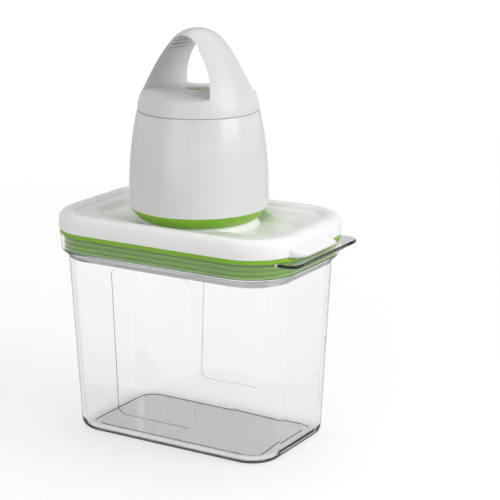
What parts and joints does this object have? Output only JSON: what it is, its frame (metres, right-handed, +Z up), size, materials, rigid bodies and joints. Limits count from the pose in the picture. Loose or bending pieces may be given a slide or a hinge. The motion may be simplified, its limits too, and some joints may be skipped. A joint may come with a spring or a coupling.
{
  "type": "vacuum seal canister",
  "caption": "Clear food canister with a bordered lid, date dial, release valve, and a battery vacuum pump with a domed handle cap.",
  "frame": {"origin": "centre of the foot on the ground plane, on the axis of the docking ring and pump", "axes": "+X along the long side toward the pull tab, +Y to the back, +Z up"},
  "size_m": [0.166, 0.1016, 0.2429],
  "materials": {
    "clear_plastic": "clear",
    "white_gloss": "gloss",
    "grey_satin": "satin",
    "green_silicone": "satin",
    "lime_plastic": "gloss",
    "inner_plastic": "matte",
    "dark_rubber": "matte",
    "spring_steel": "bright",
    "nickel_strip": "satin",
    "cell_jacket": "gloss",
    "board_green": "satin",
    "motor_steel": "satin",
    "felt": "soft"
  },
  "bodies": {
    "canister": {"canister_body": "clear_plastic"},
    "lid": {"lid_shell": "white_gloss", "lid_gasket": "green_silicone"},
    "dial": {"date_dial": "grey_satin"},
    "valve": {"valve_button": "green_silicone", "valve_flap": "green_silicone"},
    "pump": {"pump_housing": "white_gloss", "pump_seal": "green_silicone", "base_plate": "inner_plastic", "base_screws": "spring_steel", "battery_deck": "white_gloss", "battery_cell_1": "cell_jacket", "battery_cell_2": "cell_jacket", "battery_cell_3": "cell_jacket", "battery_cell_4": "cell_jacket", "lower_contacts": "nickel_strip", "contact_springs": "spring_steel", "button_spring": "spring_steel", "circuit_board": "board_green", "tact_switch": "dark_rubber", "motor": "motor_steel", "crank_case": "inner_plastic", "wobble_arm": "inner_plastic", "diaphragm": "dark_rubber", "pump_head": "inner_plastic", "intake_filter": "felt"},
    "button": {"power_button": "lime_plastic"},
    "crank": {"motor_crank": "motor_steel"},
    "cover_ring": {"cover_seal": "dark_rubber"},
    "cover": {"cover_plate": "white_gloss", "cover_contacts": "nickel_strip"},
    "cap": {"handle_cap": "white_gloss"}
  },
  "joints": [
    {"name": "lid_lift", "type": "slide", "parent": "canister", "child": "lid", "axis": [0, 0, -1], "range_m": [-0.045, 0]},
    {"name": "dial_turn", "type": "hinge", "parent": "lid", "child": "dial", "pos_m": [0, 0, 0.129], "axis": [0, 0, 1], "continuous": true},
    {"name": "valve_press", "type": "slide", "parent": "lid", "child": "valve", "axis": [0, 0, 1], "range_m": [-0.0008, 0], "stiffness_N_per_m": 800},
    {"name": "pump_lift", "type": "slide", "parent": "lid", "child": "pump", "axis": [0, 0, 1], "range_m": [0, 0.0245]},
    {"name": "button_press", "type": "slide", "parent": "pump", "child": "button", "axis": [0, 0, 1], "range_m": [-0.0015, 0], "stiffness_N_per_m": 900, "deforming": ["button_spring"]},
    {"name": "crank_turn", "type": "hinge", "parent": "pump", "child": "crank", "pos_m": [0, 0, 0.156], "axis": [0, 0, 1], "continuous": true},
    {"name": "cover_lift", "type": "slide", "parent": "pump", "child": "cover_ring", "axis": [0, 0, 1], "range_m": [0, 0.0346]},
    {"name": "cover_twist", "type": "hinge", "parent": "cover_ring", "child": "cover", "pos_m": [0, 0, 0.199], "axis": [0, 0, 1], "range_deg": [-26, 0]},
    {"name": "cap_lift", "type": "slide", "parent": "cover", "child": "cap", "axis": [0, 0, 1], "range_m": [0, 0.0382]}
  ]
}
